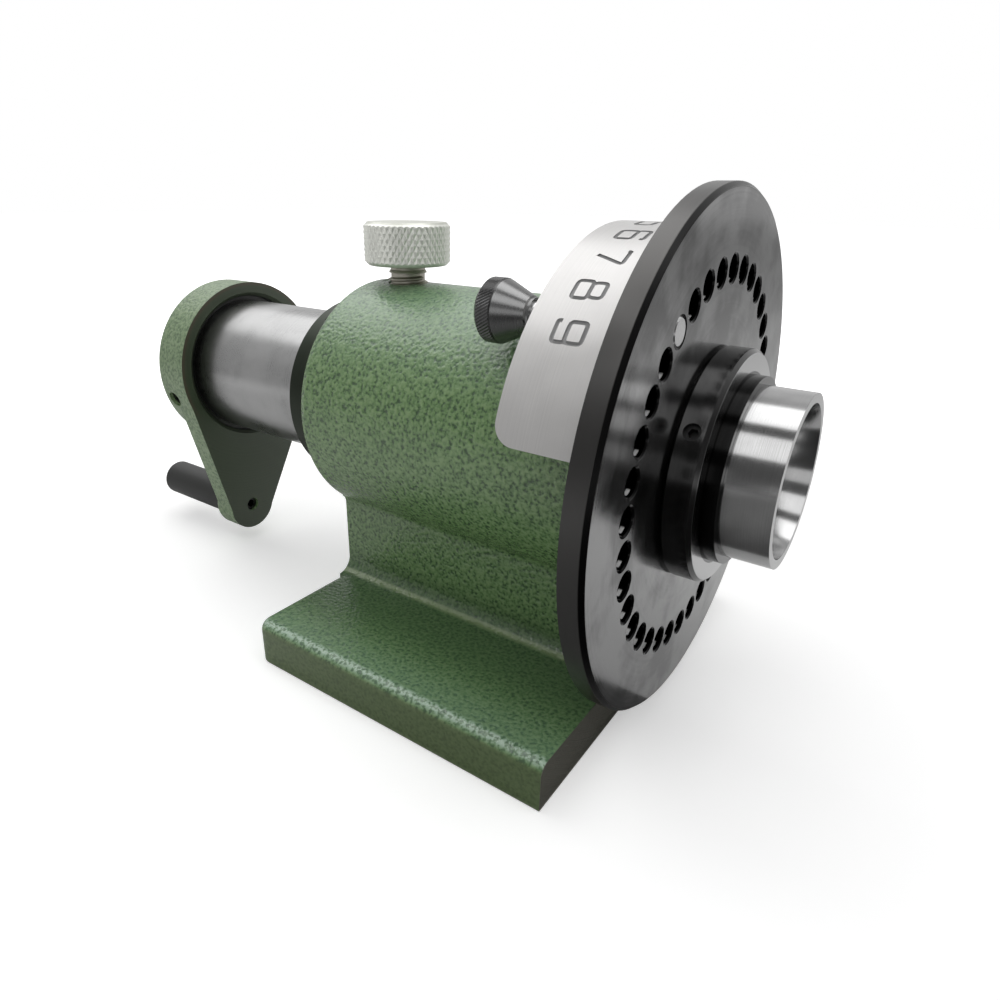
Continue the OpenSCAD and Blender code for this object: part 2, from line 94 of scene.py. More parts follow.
scene = bpy.context.scene
lens = bpy.data.cameras.new("camera")
lens.sensor_width = SENSOR
lens.lens = LENS
lens.shift_x = SHIFT_X
lens.shift_y = SHIFT_Y
lens.clip_start = 0.01
camera = bpy.data.objects.new("camera", lens)
camera.matrix_world = Matrix.Translation(CAMERA_PLACE) @ Matrix(camera_axes()).transposed().to_4x4()
scene.collection.objects.link(camera)
scene.camera = camera
scene.view_settings.view_transform = "Standard"
print("camera", [round(value / MM, 1) for value in camera.location], "mm, lens", LENS, "mm")

# %% [markdown]
# ## Helpers for working by hand
# An operator acts on all that is selected, so each step first deselects everything and then picks one piece. A
# finished mesh is merged and turned outwards first, and smoothed only where its faces meet at a flat angle.


# %% Selection helpers
MERGE_DISTANCE = 0.000002


def pick_none():
    """Leaves nothing selected."""
    bpy.ops.object.select_all(action="DESELECT")


def pick(piece):
    """Leaves only this object selected, and active."""
    if bpy.context.object and bpy.context.object.mode != "OBJECT":
        bpy.ops.object.mode_set(mode="OBJECT")
    pick_none()
    piece.select_set(True)
    bpy.context.view_layer.objects.active = piece


def finish_mesh(piece, angle=30):
    """Merges doubles, points the faces outwards and smooths them up to an angle, in degrees."""
    pick(piece)
    bpy.ops.object.mode_set(mode="EDIT")
    bpy.ops.mesh.select_all(action="SELECT")
    bpy.ops.mesh.remove_doubles(threshold=MERGE_DISTANCE)
    bpy.ops.mesh.normals_make_consistent(inside=False)
    bpy.ops.object.mode_set(mode="OBJECT")
    bpy.ops.object.shade_smooth_by_angle(angle=math.radians(angle))
    print(piece.name, len(piece.data.polygons), "faces")


# %% [markdown]
# ## Helpers for materials
# A material is a small machine of nodes. Each of these helpers adds one node, with its settings and its links, in
# one call, so that a finish below reads like a list of what was done to the surface. The last one opens a new
# shader group with named inputs and outputs.


# %% Node helpers
def add(tree, kind, feeds=None, **settings):
    """Adds a shader node. feeds maps an input to a value or to a socket that is linked to it."""
    node = tree.nodes.new("ShaderNode" + kind)
    for name, value in settings.items():
        setattr(node, name, value)
    for name, value in (feeds or {}).items():
        if isinstance(value, bpy.types.NodeSocket):
            tree.links.new(value, node.inputs[name])
        else:
            node.inputs[name].default_value = value
    return node


def math_node(tree, operation, first, second=0.0, clamp=False):
    """Result of a Math node."""
    return add(tree, "Math", {0: first, 1: second}, operation=operation, use_clamp=clamp).outputs[0]


def times(tree, first, second):
    """Product of two values."""
    return math_node(tree, "MULTIPLY", first, second)


def dot(tree, first, second):
    """Dot product of two vectors."""
    return add(tree, "VectorMath", {0: first, 1: second}, operation="DOT_PRODUCT").outputs["Value"]


def split(tree, vector):
    """The X, Y and Z of a vector."""
    return add(tree, "SeparateXYZ", {0: vector}).outputs


def mix_value(tree, share, first, second):
    """Value between two others."""
    return add(tree, "Mix", {0: share, 2: first, 3: second}).outputs[0]


def mix_colour(tree, share, first, second):
    """Colour between two others."""
    return add(tree, "Mix", {0: share, 6: first, 7: second}, data_type="RGBA").outputs[2]


def between(tree, value, low, high):
    """Share from 0 to 1 mapped onto a range."""
    return add(tree, "MapRange", {0: value, 3: low, 4: high}).outputs[0]


def smooth_map(tree, value, low, high, first, second):
    """Value mapped from one range to another with soft ends."""
    return add(tree, "MapRange", {0: value, 1: low, 2: high, 3: first, 4: second},
               interpolation_type="SMOOTHSTEP").outputs[0]


def new_group(name, inputs, outputs):
    """Opens a shader group. Inputs are (name, kind, default) and outputs are (name, kind)."""
    tree = bpy.data.node_groups.new(name, "ShaderNodeTree")
    for label, kind, default in inputs:
        socket = tree.interface.new_socket(label, in_out="INPUT", socket_type="NodeSocket" + kind)
        socket.default_value = default
    for label, kind in outputs:
        tree.interface.new_socket(label, in_out="OUTPUT", socket_type="NodeSocket" + kind)
    return tree, tree.nodes.new("NodeGroupInput").outputs, tree.nodes.new("NodeGroupOutput").inputs


def place_group(tree, group, feeds):
    """Group node whose inputs are fed after its tree is set, because the tree gives it those inputs."""
    return add(tree, "Group", feeds, node_tree=group).outputs


# %% Colours
def rgb(red, green, blue):
    """Colour with full alpha."""
    return (red, green, blue, 1.0)


def grey(value, warm=0.0):
    """Neutral grey, a little warmer or cooler."""
    return rgb(value * (1 + warm), value, value * (1 - warm))


# %% [markdown]
# ## Studio
# The jig stands on a white floor, and the camera sees white all round. Polished steel shows whatever it faces, so
# reflections see a room of greys instead: darker behind the camera, brighter behind the jig, with a ceiling and a
# bright window low behind the camera. Three soft boxes hang over the spindle. On the polished nose the first two
# show as two bright bands with a narrow dark line between them, and the third lights the tube and the crank.


# %% Room
BACKGROUND_WHITE = 1.0
ROOM_BEHIND = 0.72
ROOM_IN_FRONT = 0.13
ROOM_BRIGHTENS = (-0.6, 0.8, 0.0)
ROOM_FADE = (-0.65, 0.35)
CEILING_NEAR = 0.12
CEILING_FAR = 0.50
CEILING_FADE = (-0.25, 0.35)
CEILING_EDGE = (0.62, 0.82)
WINDOW_AIM = (0.225, -0.974, 0.0)
WINDOW_EDGE = (0.915, 0.945)
WINDOW_TOP = (0.31, 0.33)
WINDOW_LIGHT = 0.95
FILL = 0.21


def seen_by_camera(tree):
    """1 for the rays of the camera."""
    return add(tree, "LightPath").outputs["Is Camera Ray"]


def seen_in_steel(tree):
    """1 for the rays that leave a shiny or a clear surface."""
    path = add(tree, "LightPath").outputs
    return math_node(tree, "MAXIMUM", path["Is Glossy Ray"], path["Is Transmission Ray"])


def build_room():
    """World: white for the camera, a room of greys for reflections, and a plain grey light for the rest."""
    world = bpy.data.worlds.new("room")
    scene.world = world
    world.use_nodes = True
    tree = world.node_tree
    tree.nodes.clear()
    direction = add(tree, "TexCoord").outputs["Generated"]
    parts = split(tree, direction)
    walls = smooth_map(tree, dot(tree, direction, ROOM_BRIGHTENS), *ROOM_FADE, ROOM_IN_FRONT, ROOM_BEHIND)
    window = times(tree, smooth_map(tree, dot(tree, direction, WINDOW_AIM), *WINDOW_EDGE, 0.0, 1.0),
                   smooth_map(tree, parts["Z"], *WINDOW_TOP, 1.0, 0.0))
    walls = mix_value(tree, window, walls, WINDOW_LIGHT)
    ceiling = smooth_map(tree, parts["Y"], *CEILING_FADE, CEILING_NEAR, CEILING_FAR)
    overhead = smooth_map(tree, parts["Z"], *CEILING_EDGE, 0.0, 1.0)
    room = mix_value(tree, overhead, walls, ceiling)
    shown = mix_value(tree, seen_in_steel(tree), FILL, room)
    strength = mix_value(tree, seen_by_camera(tree), shown, BACKGROUND_WHITE)
    shader = add(tree, "Background", {"Color": rgb(1, 1, 1), "Strength": strength}).outputs[0]
    add(tree, "OutputWorld", {"Surface": shader})


build_room()
print("room: white for the camera,", ROOM_IN_FRONT, "to", ROOM_BEHIND, "in reflections")

# %% Floor
FLOOR_SIZE = 8.0
FLOOR_Z = -0.0002
FLOOR_NEAR = 0.16
FLOOR_FAR = 0.42
NEAR_LIFT = 0.42
STEEL_LIFT = 0.12
MATT = 0.9


def studio_material(name):
    """Matt material for a surface of the studio."""
    material = bpy.data.materials.new(name)
    material.use_nodes = True
    tree = material.node_tree
    inputs = tree.nodes["Principled BSDF"].inputs
    inputs["Roughness"].default_value = MATT
    return material, tree, inputs, add(tree, "TexCoord").outputs["Object"]


def build_floor():
    """White floor that keeps the object's shadow and turns pure white away from it."""
    pick_none()
    bpy.ops.mesh.primitive_plane_add(size=FLOOR_SIZE, location=(0, 0, FLOOR_Z))
    floor = bpy.context.object
    floor.name = "floor"
    bpy.ops.object.transform_apply(location=True)
    material, tree, inputs, point = studio_material("white_floor")
    inputs["Base Color"].default_value = grey(0.85)
    inputs["Emission Color"].default_value = grey(1.0)
    away = add(tree, "VectorMath", {0: point}, operation="LENGTH").outputs["Value"]
    lift = smooth_map(tree, away, FLOOR_NEAR, FLOOR_FAR, NEAR_LIFT, 1.0)
    for_camera = times(tree, seen_by_camera(tree), lift)
    for_steel = times(tree, seen_in_steel(tree), STEEL_LIFT)
    tree.links.new(math_node(tree, "ADD", for_camera, for_steel), inputs["Emission Strength"])
    floor.data.materials.append(material)


build_floor()
print("floor is white for the camera beyond", FLOOR_FAR, "m")

# %% Soft boxes
LAMP_AIM = Vector((0.02, 0, AXIS_Z))


def soft_box(name, angle, distance, width, length, radiance, along):
    """Long area lamp over the spindle. The angle is counted in degrees from the right horizon over the top."""
    turn = math.radians(angle)
    aim = LAMP_AIM + Vector((along, 0, 0))
    place = aim + Vector((0, -math.cos(turn) * distance, math.sin(turn) * distance))
    lamp = bpy.data.lights.new(name, "AREA")
    lamp.shape = "RECTANGLE"
    lamp.size = length
    lamp.size_y = width
    lamp.energy = radiance * math.pi * length * width
    piece = bpy.data.objects.new(name, lamp)
    towards = (aim - place).normalized()
    across = ALONG_X.cross(towards)
    piece.matrix_world = Matrix.Translation(place) @ Matrix((ALONG_X, -across, -towards)).transposed().to_4x4()
    piece.visible_camera = False
    scene.collection.objects.link(piece)
    print(name, [round(value, 2) for value in place], "energy", round(lamp.energy, 2))


soft_box("near_box", angle=53.5, distance=0.8, width=0.42, length=0.9, radiance=1.6, along=0.22)
soft_box("far_box", angle=100, distance=0.8, width=0.48, length=0.9, radiance=2.0, along=0.22)
soft_box("rear_box", angle=98, distance=0.85, width=1.05, length=1.0, radiance=1.5, along=-0.78)

# %% [markdown]
# ## Dark card
# Under a bright lamp the floor would show as a white patch in the underside of the polished nose. A photographer
# lays a dark card on the table to keep that part of the steel dark. This one is black under the nose and fades to
# pale grey towards the rear, so that no edge of it shows in the paint. It is seen by reflections only and throws
# no shadow.

# %% Card
CARD_LOW = Vector((-0.30, -3.9, 0.0005))
CARD_HIGH = Vector((0.45, -0.008, 0.0005))
CARD_PALE = grey(0.70)
CARD_GREY = grey(0.26)
CARD_BLACK = grey(0.03)
GREY_FROM = (-0.10, 0.03)
BLACK_FROM = (0.065, 0.085)
HIDDEN_FROM = ("camera", "diffuse", "transmission", "volume_scatter", "shadow")


def lay_card():
    """Dark card on the floor in front of the nose."""
    pick_none()
    middle = (CARD_LOW + CARD_HIGH) / 2
    size = CARD_HIGH - CARD_LOW
    bpy.ops.mesh.primitive_plane_add(size=1, location=middle, scale=(1, 1, 1))
    card = bpy.context.object
    card.name = "dark_card"
    bpy.ops.transform.resize(value=(size.x, size.y, 1), center_override=middle)
    bpy.ops.object.transform_apply(location=True, scale=True)
    material, tree, inputs, point = studio_material("black_card")
    along = split(tree, point)["X"]
    shade = mix_colour(tree, smooth_map(tree, along, *GREY_FROM, 0.0, 1.0), CARD_PALE, CARD_GREY)
    shade = mix_colour(tree, smooth_map(tree, along, *BLACK_FROM, 0.0, 1.0), shade, CARD_BLACK)
    tree.links.new(shade, inputs["Base Color"])
    card.data.materials.append(material)
    for kind in HIDDEN_FROM:
        setattr(card, "visible_" + kind, False)
    print("dark card", [round(value, 3) for value in card.dimensions])


lay_card()

# %% [markdown]
# ## Shared effects
# Four effects come back on several finishes, so each is a shader group: the fine rings that a lathe or a
# grinding wheel leaves, the dimples of hammered paint, faint smudges, and a band that is 1 between two limits.

# %% Rings of the lathe
def make_turning_marks():
    """Rings round an axis: they vary along a cylinder and across the radius of a face."""
    tree, given, out = new_group("turning marks", [
        ("Point", "Vector", (0, 0, 0)), ("Axis Point", "Vector", (0, 0, 0)),
        ("Axis Direction", "Vector", (1, 0, 0)), ("Rings", "Float", 4000.0),
    ], [("Marks", "Float"), ("Radius", "Float"), ("Along", "Float")])
    offset = add(tree, "VectorMath", {0: given["Point"], 1: given["Axis Point"]}, operation="SUBTRACT").outputs[0]
    along = dot(tree, offset, given["Axis Direction"])
    side = add(tree, "VectorMath", {0: offset, 1: given["Axis Direction"]}, operation="CROSS_PRODUCT").outputs[0]
    radius = add(tree, "VectorMath", {0: side}, operation="LENGTH").outputs["Value"]
    place = times(tree, math_node(tree, "ADD", along, radius), given["Rings"])
    marks = add(tree, "TexNoise", {"W": place, "Scale": 1.0, "Detail": 3.0, "Roughness": 0.7},
                noise_dimensions="1D").outputs["Fac"]
    tree.links.new(marks, out["Marks"])
    tree.links.new(radius, out["Radius"])
    tree.links.new(along, out["Along"])
    return tree


TURNING_MARKS = make_turning_marks()
print("shader group:", TURNING_MARKS.name)

# %% Dimples of hammered paint
STIR_SCALE = 600.0
CELL_SHARE = 0.75
FLOW_WEIGHT = 0.8
CELL_WEIGHT = 0.3


def make_hammer_dimples():
    """Mottles and dimples of hammered paint: soft cells that a noise has stirred, mixed with a finer flow."""
    tree, given, out = new_group("hammer dimples", [
        ("Point", "Vector", (0, 0, 0)), ("Dimples", "Float", 900.0), ("Stir", "Float", 0.0008),
    ], [("Mottle", "Float"), ("Height", "Float")])
    stir = add(tree, "TexNoise", {"Vector": given["Point"], "Scale": STIR_SCALE, "Detail": 1.0}).outputs["Color"]
    centred = add(tree, "VectorMath", {0: stir, 1: (0.5, 0.5, 0.5)}, operation="SUBTRACT").outputs[0]
    moved = add(tree, "VectorMath", {0: centred, "Scale": given["Stir"]}, operation="SCALE").outputs[0]
    point = add(tree, "VectorMath", {0: given["Point"], 1: moved}, operation="ADD").outputs[0]
    cells = add(tree, "TexVoronoi", {"Vector": point, "Scale": times(tree, given["Dimples"], CELL_SHARE),
                                     "Smoothness": 0.5}, feature="SMOOTH_F1").outputs["Distance"]
    flow = add(tree, "TexNoise", {"Vector": point, "Scale": given["Dimples"], "Detail": 2.0,
                                  "Roughness": 0.5}).outputs["Fac"]
    flow = times(tree, flow, FLOW_WEIGHT)
    tree.links.new(math_node(tree, "ADD", flow, times(tree, cells, CELL_WEIGHT)), out["Mottle"])
    tree.links.new(math_node(tree, "ADD", cells, flow), out["Height"])
    return tree


HAMMER_DIMPLES = make_hammer_dimples()
print("shader group:", HAMMER_DIMPLES.name)


# %% Smudges and bands
def make_smudges():
    """Large faint patches, where oil and fingers have been."""
    tree, given, out = new_group("smudges", [("Point", "Vector", (0, 0, 0)), ("Size", "Float", 60.0)],
                                 [("Patches", "Float")])
    patches = add(tree, "TexNoise", {"Vector": given["Point"], "Scale": given["Size"], "Detail": 4.0,
                                     "Roughness": 0.55}).outputs["Fac"]
    tree.links.new(smooth_map(tree, patches, 0.35, 0.65, 0.0, 1.0), out["Patches"])
    return tree


def make_band():
    """1 where a value lies between two limits, with soft ends."""
    tree, given, out = new_group("band", [
        ("Value", "Float", 0.0), ("Low", "Float", 0.0), ("High", "Float", 1.0), ("Soft", "Float", 0.0001),
    ], [("Mask", "Float")])
    low = math_node(tree, "SUBTRACT", given["Value"], given["Low"])
    high = math_node(tree, "SUBTRACT", given["High"], given["Value"])
    rise = math_node(tree, "DIVIDE", low, given["Soft"], clamp=True)
    fall = math_node(tree, "DIVIDE", high, given["Soft"], clamp=True)
    tree.links.new(times(tree, rise, fall), out["Mask"])
    return tree


SMUDGES = make_smudges()
BAND = make_band()
print("shader groups:", [group.name for group in bpy.data.node_groups])


# %% Start of a material
def new_material(name, **settings):
    """Material with a Principled BSDF, its uniform settings, and the object coordinates."""
    material = bpy.data.materials.new(name)
    material.use_nodes = True
    tree = material.node_tree
    shader = tree.nodes["Principled BSDF"]
    for label, value in settings.items():
        shader.inputs[label.replace("_", " ")].default_value = value
    return material, tree, shader.inputs, add(tree, "TexCoord").outputs["Object"]


def bump(tree, inputs, height, distance, strength=1.0):
    """Feeds a height, in shares of a distance in metres, to the shader's normal."""
    node = add(tree, "Bump", {"Height": height, "Distance": distance, "Strength": strength})
    tree.links.new(node.outputs[0], inputs["Normal"])


def band(tree, value, low, high, soft):
    """Mask that is 1 where a value lies between two limits."""
    return place_group(tree, BAND, {"Value": value, "Low": low, "High": high, "Soft": soft})["Mask"]


def facing(tree):
    """Direction that the surface faces, on the object's own axes."""
    return add(tree, "TexCoord").outputs["Normal"]


def ramp(tree, share, stops):
    """Colour ramp from (position, colour) stops."""
    node = add(tree, "ValToRGB", {0: share})
    elements = node.color_ramp.elements
    while len(elements) < len(stops):
        elements.new(0.5)
    for element, (place, colour) in zip(elements, stops):
        element.position = place
        element.color = colour
    return node.outputs[0]


# %% [markdown]
# ## Hammered paint
# The casting is sprayed with a green enamel that draws itself into small dimples as it dries. Each dimple is
# pale in the middle and dark where the pigment gathers. What faces up is painted paler and bluer, a painted sheen
# of the light from above, except low in the corner under the barrel, which is painted darker as the barrel's shade.
# Painted glints fleck the long upper edges of the base, and a painted highlight runs where the web stands on it.
# The front face, the underside and the bore are machined after painting, so they are bare grey iron.

# %% Colours and places of the paint
PAINT_DARK = rgb(0.040, 0.088, 0.032)
PAINT_MID = rgb(0.120, 0.225, 0.080)
PAINT_PALE = rgb(0.200, 0.315, 0.135)
# Painted light: a paler, bluer green on what faces up, as the sheen of the light from above.
PAINT_TOP_SHEEN = rgb(0.215, 0.345, 0.250)
# Painted highlight: pale glints along the long upper edges of the base.
PAINT_EDGE_GLINT = rgb(0.40, 0.54, 0.43)
# Painted highlight: a pale line along the foot of the web.
PAINT_FOOT_HIGHLIGHT = rgb(0.26, 0.34, 0.17)
PAINT_FLANK = rgb(0.084, 0.119, 0.044)
IRON = rgb(0.170, 0.165, 0.135)
# Share of the painted sheen on what faces up.
TOP_SHEEN = 0.38
PAINT_RELIEF = 0.17 * MM

casting_low, casting_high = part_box("body_casting")
HALF_WIDTH = casting_high.y
# Painted shade under the barrel: how high it reaches, where the painted sheen fades out, and where the corner
# darkens.
CORNER_SHADE_Z = (14.0 * MM, 24.0 * MM)
BARREL_SHADE_Y = (40.0 * MM, 58.0 * MM)
CORNER_SHADE_Y = (34.0 * MM, 55.0 * MM)
# Where the painted glints run along the edges of the base.
EDGE_GLINT_Y = (HALF_WIDTH - 3.8 * MM, HALF_WIDTH - 0.5 * MM)
EDGE_GLINT_ABOVE = 9.0 * MM
FLANK_Y = (HALF_WIDTH - 0.6 * MM, HALF_WIDTH - 0.1 * MM)
# Where the painted highlight at the foot of the web runs.
FOOT_HIGHLIGHT_Z = (13.15 * MM, 14.5 * MM)
FOOT_HIGHLIGHT_OUT = 24.5 * MM
BORE_R = 24.2 * MM
print("half width of the base:", round(HALF_WIDTH / MM, 1), "mm")


# %% Painted sheen and shade, painted glints and bare iron
def painted_sheen_and_shade(tree, place, side, colour):
    """Painted sheen of the light from above on what faces up, and painted shade in the corner under the barrel."""
    # Painted shade: low under the barrel the painted sheen fades out.
    low = smooth_map(tree, place["Z"], *CORNER_SHADE_Z, 1.0, 0.0)
    barrel_shade = times(tree, low, smooth_map(tree, side, *BARREL_SHADE_Y, 0.7, 0.0))
    # Painted sheen of the light from above, on what faces up.
    upwards = smooth_map(tree, split(tree, facing(tree))["Z"], 0.35, 1.0, 0.0, TOP_SHEEN)
    sheen_share = times(tree, upwards, math_node(tree, "SUBTRACT", 1.0, barrel_shade))
    colour = mix_colour(tree, sheen_share, colour, PAINT_TOP_SHEEN)
    # Painted shade: the corner under the barrel is painted darker.
    corner = times(tree, low, smooth_map(tree, side, *CORNER_SHADE_Y, 0.62, 0.0))
    return mix_colour(tree, corner, colour, PAINT_DARK)


def painted_glints(tree, place, side, mottle, colour):
    """Painted glints along the long upper edges of the base, and a painted highlight where the web stands on it."""
    # Painted glints: pale specks along the long upper edges.
    edge_glint = times(tree, band(tree, side, *EDGE_GLINT_Y, 0.9 * MM),
                 math_node(tree, "GREATER_THAN", place["Z"], EDGE_GLINT_ABOVE))
    edge_glint = times(tree, edge_glint, smooth_map(tree, mottle, 0.48, 0.60, 0.0, 0.75))
    colour = mix_colour(tree, edge_glint, colour, PAINT_EDGE_GLINT)
    # Painted highlight along the foot of the web.
    foot_highlight = times(tree, band(tree, place["Z"], *FOOT_HIGHLIGHT_Z, 0.4 * MM), math_node(tree, "LESS_THAN", side, FOOT_HIGHLIGHT_OUT))
    return mix_colour(tree, times(tree, foot_highlight, 0.7), colour, PAINT_FOOT_HIGHLIGHT)


def machined(tree, place, radius):
    """1 on the front face, the underside and the bore, where a tool has cut the paint away."""
    front = math_node(tree, "GREATER_THAN", place["X"], casting_high.x - 0.1 * MM)
    under = math_node(tree, "LESS_THAN", place["Z"], 0.05 * MM)
    bore = math_node(tree, "LESS_THAN", radius, BORE_R)
    return math_node(tree, "MAXIMUM", math_node(tree, "MAXIMUM", front, under), bore)


# %% Paint of the casting
def make_casting_paint():
    """Hammered green, smoother on the flanks of the base, with bare iron where it is machined."""
    material, tree, inputs, point = new_material("hammered_paint", Specular_IOR_Level=0.9)
    paint = place_group(tree, HAMMER_DIMPLES, {"Point": point, "Dimples": 1080.0, "Stir": 0.0007})
    rings = place_group(tree, TURNING_MARKS, {"Point": point, "Axis Point": AXIS_POINT, "Rings": 3000.0})
    place = split(tree, point)
    side = math_node(tree, "ABSOLUTE", place["Y"])
    flank = smooth_map(tree, side, *FLANK_Y, 0.0, 1.0)
    bare = machined(tree, place, rings["Radius"])
    colour = ramp(tree, paint["Mottle"], [(0.40, PAINT_DARK), (0.52, PAINT_MID), (0.67, PAINT_PALE)])
    colour = painted_sheen_and_shade(tree, place, side, colour)
    colour = painted_glints(tree, place, side, paint["Mottle"], colour)
    colour = mix_colour(tree, times(tree, flank, 0.8), colour, PAINT_FLANK)
    tree.links.new(mix_colour(tree, bare, colour, IRON), inputs["Base Color"])
    tree.links.new(times(tree, bare, 0.6), inputs["Metallic"])
    tree.links.new(between(tree, bare, 0.27, 0.5), inputs["Roughness"])
    height = mix_value(tree, bare, paint["Height"], rings["Marks"])
    bump(tree, inputs, times(tree, height, between(tree, flank, 1.0, 0.15)), PAINT_RELIEF)
    return material


casting_paint = make_casting_paint()
print("paint:", casting_paint.name)

# %% [markdown]
# ## Crank paint
# The crank is a smaller casting with a thinner, smoother coat. Its front face, with the cup round the spindle, is
# turned flat and smooth; it looks towards the body and gets little light, so its dark colour is painted shade, and
# the inside of the cup is painted nearly black as shade. Old oil has dried brown along the upper edge of the cup.

# %% Paint of the crank
CRANK_DARK = rgb(0.085, 0.150, 0.065)
CRANK_MID = rgb(0.175, 0.265, 0.130)
CRANK_PALE = rgb(0.235, 0.325, 0.175)
# Painted shade of the front face, which looks towards the body and gets little light.
FACE_SHADE_DARK = rgb(0.034, 0.050, 0.025)
FACE_SHADE_PALE = rgb(0.054, 0.076, 0.040)
OILED_BROWN = rgb(0.090, 0.066, 0.042)
# Painted shade: the inside of the cup, painted nearly black.
CUP_SHADE = rgb(0.010, 0.012, 0.009)
CRANK_RELIEF = 0.12 * MM
CRANK_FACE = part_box("crank_arm")[1].x
CUP_R = 26.8 * MM
CUP_LIP = 1.2 * MM
BROWN_R = (28.9 * MM, 30.6 * MM)
BROWN_Z = (AXIS_Z - 18 * MM, AXIS_Z - 8 * MM)


def make_crank_paint():
    """Pale green rim with faint dimples, a smooth front face in painted shade, and a cup painted nearly black as
    shade.
    """
    material, tree, inputs, point = new_material("crank_paint", Specular_IOR_Level=0.8)
    paint = place_group(tree, HAMMER_DIMPLES, {"Point": point, "Dimples": 1100.0, "Stir": 0.0006})
    rings = place_group(tree, TURNING_MARKS, {"Point": point, "Axis Point": AXIS_POINT, "Rings": 2500.0})
    place = split(tree, point)
    face = math_node(tree, "GREATER_THAN", place["X"], CRANK_FACE - 0.05 * MM)
    cup = smooth_map(tree, rings["Radius"], CUP_R - 0.3 * MM, CUP_R, 1.0, 0.0)
    # Painted shade deep in the cup.
    cup_wall_shade = times(tree, cup, math_node(tree, "LESS_THAN", place["X"], CRANK_FACE - CUP_LIP))
    bare = math_node(tree, "MAXIMUM", face, cup)
    painted = ramp(tree, paint["Mottle"], [(0.40, CRANK_DARK), (0.54, CRANK_MID), (0.68, CRANK_PALE)])
    # Painted shade on the smooth front face, with the rings of the lathe in it.
    face_shade_and_stain = ramp(tree, rings["Marks"], [(0.2, FACE_SHADE_DARK), (0.8, FACE_SHADE_PALE)])
    brown = times(tree, band(tree, rings["Radius"], *BROWN_R, 0.6 * MM),
                  smooth_map(tree, place["Z"], *BROWN_Z, 0.0, 0.6))
    face_shade_and_stain = mix_colour(tree, brown, face_shade_and_stain, OILED_BROWN)
    colour = mix_colour(tree, cup_wall_shade, mix_colour(tree, bare, painted, face_shade_and_stain), CUP_SHADE)
    tree.links.new(colour, inputs["Base Color"])
    tree.links.new(between(tree, bare, 0.34, 0.42), inputs["Roughness"])
    height = times(tree, paint["Height"], math_node(tree, "SUBTRACT", 1.0, bare))
    bump(tree, inputs, height, CRANK_RELIEF)
    return material


crank_paint = make_crank_paint()
print("paint:", crank_paint.name)

# %% [markdown]
# ## Steel
# All the steel is one idea with other values: a metal whose roughness and height follow the rings of the tool.
# Ground steel is smooth and bright, satin steel is rough and pale, and oxidised steel is nearly black. A piece
# that is not the same all over then gets masks, worked out from the distance to its axis and the place along it.


# %% Turned and ground metals
def make_metal(name, dark, pale, rough_low, rough_high, axis_point, axis=ALONG_X, rings=4000.0, relief=0.01,
               metallic=1.0, clouds=0.3):
    """Metal with fine rings round an axis and faint smudges. Returns the parts for further work."""
    material, tree, inputs, point = new_material(name, Metallic=metallic)
    marks = place_group(tree, TURNING_MARKS, {"Point": point, "Axis Point": axis_point, "Axis Direction": axis,
                                              "Rings": rings})
    patches = place_group(tree, SMUDGES, {"Point": point})["Patches"]
    mixed = math_node(tree, "ADD", times(tree, marks["Marks"], 1 - clouds), times(tree, patches, clouds))
    colour = ramp(tree, mixed, [(0.25, dark), (0.75, pale)])
    tree.links.new(colour, inputs["Base Color"])
    tree.links.new(between(tree, mixed, rough_low, rough_high), inputs["Roughness"])
    bump(tree, inputs, marks["Marks"], relief * MM, 0.5)
    return material, tree, inputs, marks, colour


def roughen(tree, inputs, mask, amount):
    """Adds to the roughness where a mask says so."""
    rough = inputs["Roughness"].links[0].from_socket
    tree.links.new(math_node(tree, "ADD", rough, times(tree, mask, amount)), inputs["Roughness"])


# %% Ground steel of the spindle, and the front collar
SPINDLE_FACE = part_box("spindle")[1].x
COLLAR_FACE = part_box("front_collar")[1].x
NECK_X = (COLLAR_FACE - 0.2 * MM, COLLAR_FACE + 3.35 * MM)


def make_spindle_steel():
    """Ground steel: rougher and darker on the tube at the rear, with a black neck behind the nose."""
    material, tree, inputs, marks, colour = make_metal(
        "ground_steel", grey(0.36), grey(0.53), 0.12, 0.21, AXIS_POINT, rings=5000.0, relief=0.006)
    tube = math_node(tree, "LESS_THAN", marks["Along"], casting_low.x)
    roughen(tree, inputs, tube, 0.12)
    colour = mix_colour(tree, times(tree, tube, 0.20), colour, grey(0.20))
    face = math_node(tree, "GREATER_THAN", marks["Along"], SPINDLE_FACE - 0.05 * MM)
    colour = mix_colour(tree, face, colour, grey(0.26))
    neck = band(tree, marks["Along"], *NECK_X, 0.05 * MM)
    tree.links.new(mix_colour(tree, neck, colour, grey(0.012)), inputs["Base Color"])
    return material


def make_collar_steel():
    """Glossy black oxide with the front face ground bare."""
    material, tree, inputs, marks, colour = make_metal(
        "black_oxide_collar", grey(0.080), grey(0.105), 0.14, 0.22, AXIS_POINT, rings=2500.0)
    face = math_node(tree, "GREATER_THAN", marks["Along"], COLLAR_FACE - 0.05 * MM)
    tree.links.new(mix_colour(tree, face, colour, grey(0.42)), inputs["Base Color"])
    return material


spindle_steel = make_spindle_steel()
collar_steel = make_collar_steel()
print("steel:", spindle_steel.name, "and", collar_steel.name)

# %% Black oxide of the index plate
plate_low, plate_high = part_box("index_plate")
PLATE_R = plate_high.z - AXIS_Z
RIM_R = (PLATE_R - 1.0 * MM, PLATE_R - 0.8 * MM)
BEVEL_R = (PLATE_R - 1.15 * MM, PLATE_R - 0.08 * MM)
BEVEL_DEPTH = 1.15 * MM
HOLES_R = (42.0 * MM, 52.0 * MM)
HOLES_X = (plate_low.x + 0.02 * MM, plate_high.x - 0.02 * MM)
